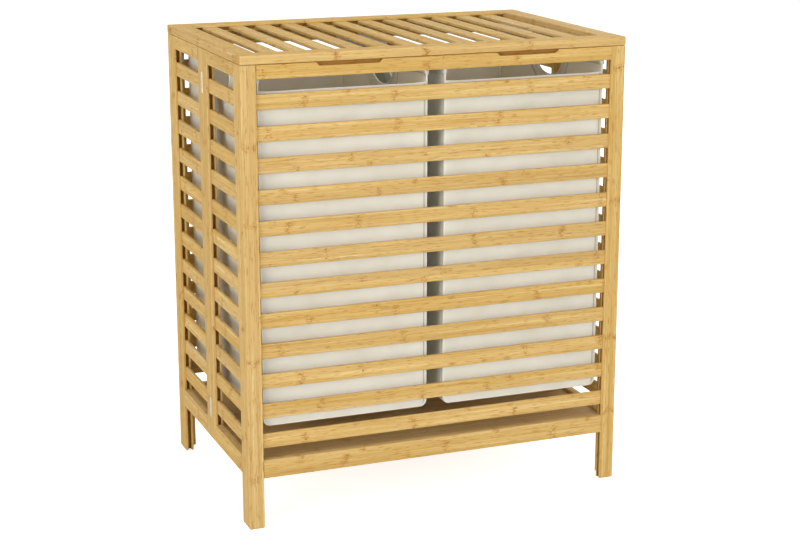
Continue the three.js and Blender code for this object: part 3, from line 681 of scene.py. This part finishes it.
class Bag:
    """One bag's sizes, from its place in the frame."""

    def __init__(self, side, seed):
        low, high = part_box(f"bin_{side}_bag")
        rod_low, rod_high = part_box(f"bin_{side}_rod_inner")
        self.side, self.seed = side, seed
        self.middle = (low + high) / 2
        self.half_x, self.half_y = (high.x - low.x) / 2, (high.y - low.y) / 2
        self.bottom = low.z
        self.rod_z = (rod_low.z + rod_high.z) / 2
        self.seam_z = self.rod_z - seam_drop
        self.rim_z = self.rod_z - front_drop
        self.grip_z = self.rod_z - grip_drop + grip_half_height

    def reach(self, wall):
        """Half the length of a wall."""
        return self.half_x if wall % 2 == 0 else self.half_y

    def flat(self, wall):
        """Half the length of a wall without its round corners."""
        return self.reach(wall) - corner_radius

    def slack(self, wall, along, z):
        """How far the hanging canvas stands in from its taut place. It is held at its corners and its bottom, and a
        side wall also under its sleeves and round its hand hole."""
        seed = wall * 7.3 + self.seed
        held = eased((self.reach(wall) - abs(along)) / 0.05) * eased((z - self.bottom - bottom_radius) / 0.07)
        if wall in side_walls:
            held *= eased((self.seam_z - z) / 0.06)
            across_grip = eased((grip_half_width + 0.03 - abs(along)) / 0.03)
            held *= 1 - across_grip * eased((z - self.grip_z + 0.08) / 0.05)
        broad = noise.noise(Vector((along * 8, z * 4.5, seed)))
        fine = noise.noise(Vector((along * 24, z * 11, seed + 3)))
        drift = 1.8 * noise.noise(Vector((along * 3, z * 5, seed + 9)))
        fold = math.sin(along * 44 + drift + seed) * eased((z - self.bottom) / 0.5)
        return held * (0.0026 + 0.0015 * broad + 0.0006 * fine + 0.0007 * fold)

    def point(self, wall, along, outward, z):
        """A point by its distances from the bag's middle along a wall and out towards it."""
        (run_x, run_y), (out_x, out_y) = walls[wall], walls[wall - 1]
        return Vector((
            self.middle.x + run_x * along + out_x * outward, self.middle.y + run_y * along + out_y * outward, z))

    def wall_point(self, wall, along, z, inset=0.0, pull=0.0):
        """A point on a wall: inset moves it in through the cloth, pull draws the wall in."""
        return self.point(wall, along, self.reach(wall + 1) - pull - inset - self.slack(wall, along, z), z)

    def corner_point(self, wall, share, z, radius, pull):
        """A point on the round corner at the end of a wall, share 0 to 1 towards the next wall."""
        along, outward = self.reach(wall) - pull[wall % 2] - radius, self.reach(wall + 1) - pull[1 - wall % 2] - radius
        turn = share * math.pi / 2
        return self.point(wall, along + radius * math.sin(turn), outward + radius * math.cos(turn), z)

    def grip_top(self, along):
        """Height of a side wall's cut edge: the half oval of the hand hole, or the sleeve's seam."""
        share = abs(along) / grip_half_width
        if share >= 1:
            return self.seam_z
        return self.grip_z - grip_half_height * math.sqrt(1 - share * share)

    def rim_top(self, wall, along):
        """Height of the front or back wall's edge, which climbs a little at its ends."""
        return self.rim_z + rim_climb * (1 - eased((self.flat(wall) - abs(along)) / 0.02))


def wall_stations(bag, wall):
    """Places of a wall's upright lines, closer together where the hand hole is cut."""
    flat, clear = bag.flat(wall), grip_half_width + 0.0002
    if wall in end_walls:
        return even(-flat, flat, 34)
    oval = [-grip_half_width * math.cos(turn) for turn in even(0.0, math.pi, 26)[1:-1]]
    return even(-flat, -clear, 15) + oval + even(clear, flat, 15)


def bag_columns(bag):
    """Every upright line of the shell, wall by wall."""
    columns, half_arc = [], corner_radius * math.pi / 4
    for wall in range(4):
        for along in wall_stations(bag, wall):
            top = bag.grip_top(along) if wall in side_walls else bag.rim_top(wall, along)
            columns.append(Column(wall, along, None, top, bag.flat(wall) - along + half_arc))
        for share in (0.3, 0.5, 0.7):
            cut_low = share < 0.5 if wall in end_walls else share > 0.5
            columns.append(Column(wall, None, share, bag.rim_z + rim_climb if cut_low else bag.seam_z, 0.0))
    return columns


def shell_point(bag, column, z, pull=(0.0, 0.0)):
    """A point of the shell: pull is how far the outline is drawn in along X and along Y."""
    wall, radius = column.wall, max(corner_radius - min(pull), 0.002)
    if column.share is not None:
        return bag.corner_point(wall, column.share, z, radius, pull)
    narrowed = bag.reach(wall) - pull[wall % 2] - radius
    return bag.wall_point(wall, column.along / bag.flat(wall) * narrowed, z, pull=pull[1 - wall % 2])


def drawn_in(height, radius):
    """How far a rounded bottom edge stands in at a height above the bottom."""
    return radius - math.sqrt(max(0.0, radius ** 2 - max(0.0, radius - height) ** 2))


def cloth_mesh(name, points, faces, cloth_map, materials):
    """A smooth sheet with its cloth map in metres."""
    mesh = bpy.data.meshes.new(name)
    mesh.from_pydata([tuple(p) for p in points], [], faces)
    layer = mesh.uv_layers.new(name="cloth")
    layer.data.foreach_set("uv", [value for face in cloth_map for pair in face for value in pair])
    mesh.shade_smooth()
    for material in materials:
        mesh.materials.append(material)
    return mesh


def thicken(piece, thickness, offset=-1.0):
    """Gives a sheet its cloth's thickness, in from its face, or out from it where the offset is 1."""
    cloth = piece.modifiers.new("cloth thickness", "SOLIDIFY")
    cloth.thickness, cloth.offset = thickness, offset
    return cloth


def bag_shell(bag):
    """The bag as one lofted sheet of canvas: a round-edged bottom and four hanging walls."""
    columns = bag_columns(bag)
    count, top_steps = len(columns), 12
    # Rings of points from the middle of the bottom out, round its edge and up the walls, each with its height and pull
    narrower = bottom_radius - corner_radius
    rings = [
        (bag.bottom + bottom_sag - bottom_sag * eased(pull / 0.09), (pull, pull - narrower))
        for pull in (0.12, 0.09, 0.05, 0.02)]
    rings += [
        (bag.bottom + height, (drawn_in(height, bottom_radius), drawn_in(height, corner_radius)))
        for height in (bottom_sag, 0.0009, 0.0014, 0.0022, 0.0032, 0.0044, 0.0060, 0.0082, bottom_radius)]
    bottom_rings = len(rings)
    split = bag.grip_z - grip_half_height - 0.05
    rings += [(z, (0.0, 0.0)) for z in even(bag.bottom + bottom_radius, split, 44)[1:]]
    points = [shell_point(bag, column, z, pull) for z, pull in rings for column in columns]
    # Above the split, the lines end at heights of their own
    points += [
        shell_point(bag, column, split + (column.top - split) * step / top_steps)
        for step in range(1, top_steps + 1) for column in columns]
    levels = len(rings) + top_steps

    # The cloth map is seen from below on the bottom, and runs round the bag on the walls
    ring = points[bottom_rings * count : (bottom_rings + 1) * count]
    run = lengths_along(ring + ring[:1])
    bottom, sides = tuple(range(count - 1, -1, -1)), quads(levels, count, True)
    cloth_map = [[points[c].xy for c in bottom]]
    for number, corners in enumerate(sides):
        level, i = divmod(number, count)
        if level < bottom_rings - 1:
            cloth_map.append([points[c].xy for c in corners])
        else:
            cloth_map.append([(run[k], points[c].z) for k, c in zip((i, i + 1, i + 1, i), corners)])
    name = f"bag_{bag.side}_shell"
    mesh = cloth_mesh(name, points, [bottom, *sides], cloth_map, (bag_cloth, lining_painted_light))
    from_corner = [
        column.from_corner if level >= bottom_rings - 3 else 1.0 for level in range(levels) for column in columns]
    mesh.attributes.new("from_corner", "FLOAT", "POINT").data.foreach_set("value", from_corner)
    piece = new_piece(name, mesh)
    cloth = thicken(piece, cloth_thickness)
    cloth.material_offset, cloth.use_even_offset = 1, True
    return piece


def strip_mesh(name, rows, material):
    """A sheet through rows of points."""
    width, faces = len(rows[0]), quads(len(rows), len(rows[0]), False)
    across, down = lengths_along(rows[0]), lengths_along([row[0] for row in rows])
    cloth_map = [[(across[c % width], down[c // width]) for c in corners] for corners in faces]
    return cloth_mesh(name, [p for row in rows for p in row], faces, cloth_map, (material,))


def join_meshes(name, meshes, thickness, offset=-1.0):
    """Several sheets of one cloth as one piece."""
    whole = bmesh.new()
    for mesh in meshes:
        whole.from_mesh(mesh)
    joined = bpy.data.meshes.new(name)
    whole.to_mesh(joined)
    whole.free()
    joined.materials.append(meshes[0].materials[0])
    for mesh in meshes:
        bpy.data.meshes.remove(mesh)
    piece = new_piece(name, joined)
    thicken(piece, thickness, offset)
    return piece


def sleeve_profile(bag):
    """Inward distance and height of the loop of cloth round a rod, from its outer hem over the rod to its inner one."""
    outer = [(-0.0003, bag.seam_z - 0.0025), (-0.0003, bag.seam_z + 0.003), (0.0001, bag.rod_z - 0.005)]
    radius = sleeve_radius - 0.0004
    turns = [math.radians(a) for a in range(-10, 201, 15)]
    loop = [(sleeve_radius - radius * math.cos(t), bag.rod_z + radius * math.sin(t)) for t in turns]
    inner = [(0.0076, bag.rod_z - 0.0062), (0.0032, bag.seam_z + 0.0022), (0.0019, bag.seam_z - 0.0025)]
    return outer + loop + inner


def sleeve_point(bag, wall, inward, z, y):
    """A point of a sleeve, y from the middle of the bag."""
    out = 1 if wall == 1 else -1
    return Vector((bag.middle.x + out * (bag.half_x - inward), bag.middle.y + y, z))


def bag_sleeves(bag):
    """Four loops of canvas round the two rods, open at the hand holes."""
    meshes, profile = [], sleeve_profile(bag)
    for wall in side_walls:
        for end in (-1, 1):
            rows = []
            for y in even(end * (bag.half_y - 0.0008), end * (grip_half_width + 0.0008), 24):
                puff = 0.0003 * noise.noise(Vector((y * 60, wall, bag.seed)))
                rows.append([sleeve_point(bag, wall, inward + puff, z, y) for inward, z in profile])
            if (wall == 1) == (end == 1):
                rows.reverse()
            meshes.append(strip_mesh("sleeve", rows, bag_cloth))
    return join_meshes(f"bag_{bag.side}_sleeves", meshes, cloth_thickness)


def grip_outline(bag, spread):
    """Places along a side wall and heights of the hand hole's edge, widened by spread."""
    half, tall, top = grip_half_width + spread, grip_half_height + spread, bag.seam_z - 0.001
    middle = (top + bag.grip_z) / 2
    oval = [(-half * math.cos(turn), bag.grip_z - tall * math.sin(turn)) for turn in even(0.0, math.pi, 28)]
    return [(-half, top), (-half, middle), *oval, (half, middle), (half, top)]


def bag_facings(bag):
    """A band of canvas sewn round each hand hole, on the inside."""
    meshes, inset = [], cloth_thickness + facing_gap
    outlines = [grip_outline(bag, facing_width * share) for share in (1.0, 0.7, 0.35, 0.02)]
    for wall in side_walls:
        rows = [[bag.wall_point(wall, along, z, inset) for along, z in outline] for outline in outlines]
        meshes.append(strip_mesh("facing", rows, facing_cloth))
    return join_meshes(f"bag_{bag.side}_facings", meshes, facing_thickness, 1.0)


def bag_tapes(bag):
    """Bound edges: upright corners, front and back rims, hand holes and sleeve ends."""
    # One length of tape binds three sides of a front or back panel
    inward = corner_radius * (1 - math.sqrt(0.5)) + 0.0003
    low, centre, bend = bag.bottom + bottom_radius, bag.half_x - bottom_radius, bottom_radius - inward
    upright = [(-bag.half_x + inward, z) for z in even(bag.seam_z + 0.0026, low, 60)]
    upright += [
        (-centre - bend * math.cos(turn), low - bend * math.sin(turn)) for turn in even(0.0, math.pi / 2, 8)[1:]]
    under = [(x, bag.bottom + inward) for x in even(-centre, centre, 40)[1:-1]]
    outline = upright + under + [(-x, z) for x, z in reversed(upright)]
    panels = [
        [Vector((bag.middle.x + x, bag.middle.y + out * (bag.half_y - inward), z)) for x, z in outline]
        for out in (-1, 1)]
    half_cloth = cloth_thickness / 2
    rim_places = even(-bag.half_x + 0.0022, bag.half_x - 0.0022, 50)
    rims = [[bag.wall_point(wall, a, bag.rim_top(wall, a), half_cloth) for a in rim_places] for wall in end_walls]
    grips = [[bag.wall_point(wall, a, z, half_cloth) for a, z in grip_outline(bag, 0.0)] for wall in side_walls]
    sleeve_ends = [end * place for end in (-1, 1) for place in (bag.half_y - 0.001, grip_half_width + 0.001)]
    sleeves = [
        [sleeve_point(bag, wall, inward, z, y) for inward, z in sleeve_profile(bag)[1:-1]]
        for wall in side_walls for y in sleeve_ends]
    made = []
    for title, lines, closed, radius in (
            ("panel_tape", panels, False, 0.00135), ("rim_tape", rims, False, 0.0011),
            ("sleeve_tape", sleeves, True, 0.0011), ("grip_tape", grips, False, 0.0017)):
        name = f"bag_{bag.side}_{title}"
        inputs = {"Edge radius": radius, "Sides": 8, "Finish": edge_tape}
        made.append(grow(name, lines_mesh(name, lines, closed), tape_tree, inputs))
    return made


def bag_stitches(bag):
    """Rows of stitches on both faces of the cloth, which hold the sleeves, the facings and the rims."""
    lines = []
    for wall in side_walls:
        for end in (-1, 1):
            places = even(end * (bag.half_y - 0.004), end * (grip_half_width + 0.004), 20)
            for inward, z in ((-0.0004, bag.seam_z + 0.0005), (0.0028, bag.seam_z)):
                lines.append([sleeve_point(bag, wall, inward, z, y) for y in places])
        for inset in (-thread_proud, cloth_thickness + facing_gap + facing_thickness + thread_proud):
            for spread in (facing_width - 0.002, 0.0035):
                lines.append([bag.wall_point(wall, a, z, inset) for a, z in grip_outline(bag, spread)[1:-1]])
    reach = bag.half_x - 0.012
    for wall in end_walls:
        for inset in (-thread_proud, cloth_thickness + thread_proud):
            lines.append([bag.wall_point(wall, a, bag.rim_z - 0.0045, inset) for a in even(-reach, reach, 40)])
    name = f"bag_{bag.side}_stitches"
    return grow(name, lines_mesh(name, lines), stitch_tree, {
        "Pitch": 0.0045, "Stitch length": 0.0032, "Thread radius": 0.00035, "Seed": 7, "Finish": thread})


for side, seed in (("left", 2.0), ("right", 31.0)):
    bag = Bag(side, seed)
    shell = bag_shell(bag)
    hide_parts(f"bin_{side}_bag")
    for piece in (shell, bag_sleeves(bag), bag_facings(bag), *bag_tapes(bag), bag_stitches(bag)):
        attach(piece, f"bin_{side}")


# Screws in the hinge leaves

leaf_thickness = 0.001
corner_screw_size, lid_screw_size = 1.5, 1.9


def screw_head():
    """A countersunk head with a cross recess, 1 mm in radius, its face just over Z = 0."""
    radius, arm, half = 0.001, 0.00055, 0.00013
    quarter = [(arm, -half), (arm, half), (half, half)]
    plus = []
    for turn in range(4):
        c, s = round(math.cos(turn * math.pi / 2)), round(math.sin(turn * math.pi / 2))
        plus += [(c * x - s * y, s * x + c * y) for x, y in quarter]
    rim = [(radius * x / math.hypot(x, y), radius * y / math.hypot(x, y)) for x, y in plus]
    face_rim = [(x * 0.93, y * 0.93) for x, y in rim]
    # From the seat in the leaf over the edge and the face down into the recess
    loops = ((rim, -0.0002), (face_rim, 0.00006), (plus, 0.00006), (plus, -0.0003))
    points = [(x, y, z) for loop, z in loops for x, y in loop]
    count = len(plus)
    ends = [tuple(range(3 * count, 4 * count)), tuple(range(count - 1, -1, -1))]
    mesh = bpy.data.meshes.new("screw_head")
    mesh.from_pydata(points, [], quads(len(loops), count, True) + ends)
    return new_piece("screw_head", mesh)


def screws(name, body, spots, size):
    """Screws at places with the way that each faces, and heads as many millimetres in radius as the size."""
    mesh = bpy.data.meshes.new(name)
    mesh.from_pydata([place for place, _ in spots], [], [])
    facings = mesh.attributes.new("facing", "FLOAT_VECTOR", "POINT")
    facings.data.foreach_set("vector", [value for _, way in spots for value in way])
    head = screw_head()
    piece = grow(name, mesh, screw_tree, {"Head": head, "Head size": size, "Seed": 3, "Finish": zinc})
    bpy.data.objects.remove(head)
    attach(piece, body)


def corner_hinge_spots():
    """Two screws in each leaf of the corner hinges, on the inside of the hamper."""
    spots = []
    for name in nodes:
        if not name.endswith(("hinge_lower", "hinge_upper")) or "fold" in name:
            continue
        low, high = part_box(name)
        out = -1 if name.startswith("left") else 1
        back = 1 if "back" in name else -1
        leg_x, inner_x = (low.x, high.x) if out < 0 else (high.x, low.x)
        post_y, inner_y = (high.y, low.y) if back > 0 else (low.y, high.y)
        for z in (low.z + 0.008, high.z - 0.008):
            spots.append(((leg_x - out * (leaf_thickness + 0.0001), inner_y + back * 0.0045, z), (-out, 0, 0)))
            spots.append(((inner_x + out * 0.0022, post_y - back * (leaf_thickness + 0.0001), z), (0, -back, 0)))
    return spots


screws("corner_hinge_screws", "frame", corner_hinge_spots(), corner_screw_size)
lid_hinge_spots = {"frame": [], "lid": []}
for side in ("left", "right"):
    low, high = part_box(f"lid_hinge_{side}_frame_leaf")
    for x in (low.x + 0.009, high.x - 0.009):
        lid_hinge_spots["frame"].append(((x, low.y + 0.004, back_rail_top + 0.00002), (0, 0, 1)))
        lid_hinge_spots["lid"].append(((x, low.y + 0.004, lid_low - 0.00002), (0, 0, -1)))
for body, spots in lid_hinge_spots.items():
    screws(f"lid_hinge_{body}_screws", body, spots, lid_screw_size)


# Floor, light and camera

lamp_target = Vector((0, 0, 0.4))


def stage_floor():
    """A plain white sweep that keeps the hamper's own soft shadow."""
    mesh = bpy.data.meshes.new("studio_floor")
    reach = 40.0
    mesh.from_pydata([(x * reach, y * reach, 0) for x, y in ((-1, -1), (1, -1), (1, 1), (-1, 1))], [], [(0, 1, 2, 3)])
    material, make = new_material("white_sweep")
    paper = make("ShaderNodeBsdfDiffuse", None, {"Color": srgb("#F0F0EF")})
    path = make("ShaderNodeLightPath")
    lift = make("ShaderNodeMath", {"operation": "MULTIPLY"}, {"Value_001": 0.72}, {"Value": (path, "Is Camera Ray")})
    glow = make("ShaderNodeEmission", None, {"Color": srgb("#FFFFFF")}, {"Strength": lift})
    surface = make("ShaderNodeAddShader", links={0: paper, 1: glow})
    make("ShaderNodeOutputMaterial", links={"Surface": surface})
    mesh.materials.append(material)
    new_piece("studio_floor", mesh)


def studio_world():
    """White all round to the eye and in reflections, softer as a light."""
    world = bpy.data.worlds.new("studio")
    world.use_nodes = True
    world.node_tree.nodes.clear()
    make = functools.partial(add_node, world.node_tree)
    path = make("ShaderNodeLightPath")
    seen = make(
        "ShaderNodeMath", {"operation": "MAXIMUM"},
        links={"Value": (path, "Is Camera Ray"), "Value_001": (path, "Is Glossy Ray")})
    any_seen = make(
        "ShaderNodeMath", {"operation": "MAXIMUM"},
        links={"Value": seen, "Value_001": (path, "Is Transmission Ray")})
    soft = make("ShaderNodeBackground", None, {"Color": srgb("#FFFFFF"), "Strength": 0.5})
    white = make("ShaderNodeBackground", None, {"Color": srgb("#FFFFFF"), "Strength": 1.0})
    mixed = make("ShaderNodeMixShader", links={"Fac": any_seen, 1: soft, 2: white})
    make("ShaderNodeOutputWorld", links={"Surface": mixed})
    bpy.context.scene.world = world


def soft_box(name, place, width, height, power):
    """A rectangular lamp turned to the hamper."""
    light = bpy.data.lights.new(name, "AREA")
    light.shape, light.size, light.size_y, light.energy = "RECTANGLE", width, height, power
    lamp = bpy.data.objects.new(name, light)
    lamp.location = place
    lamp.rotation_euler = (lamp_target - Vector(place)).to_track_quat("-Z", "Y").to_euler()
    bpy.context.scene.collection.objects.link(lamp)


stage_floor()
studio_world()
soft_box("key", (0.2, -4.2, 1.4), 2.4, 1.3, 43)
soft_box("overhead", (-0.1, -0.6, 3.4), 2.0, 2.0, 22)
soft_box("side_fill", (-3.6, -2.3, 1.5), 2.6, 2.0, 78)
soft_box("back_fill", (3.4, 3.0, 1.6), 2.4, 2.0, 66)

# The photograph's view, from in front of the left corner and a little above the lid
camera_place = (-1.0009, -2.5870, 1.0337)
look_down, look_right = 0.2547, 0.375
lens = bpy.data.cameras.new("camera")
lens.lens, lens.sensor_width = 81.03, 36.0
camera = bpy.data.objects.new("camera", lens)
camera.location = camera_place
camera.rotation_euler = (math.pi / 2 - look_down, 0.0, -look_right)
bpy.context.scene.collection.objects.link(camera)
bpy.context.scene.camera = camera
bpy.context.scene.view_settings.view_transform = "Standard"
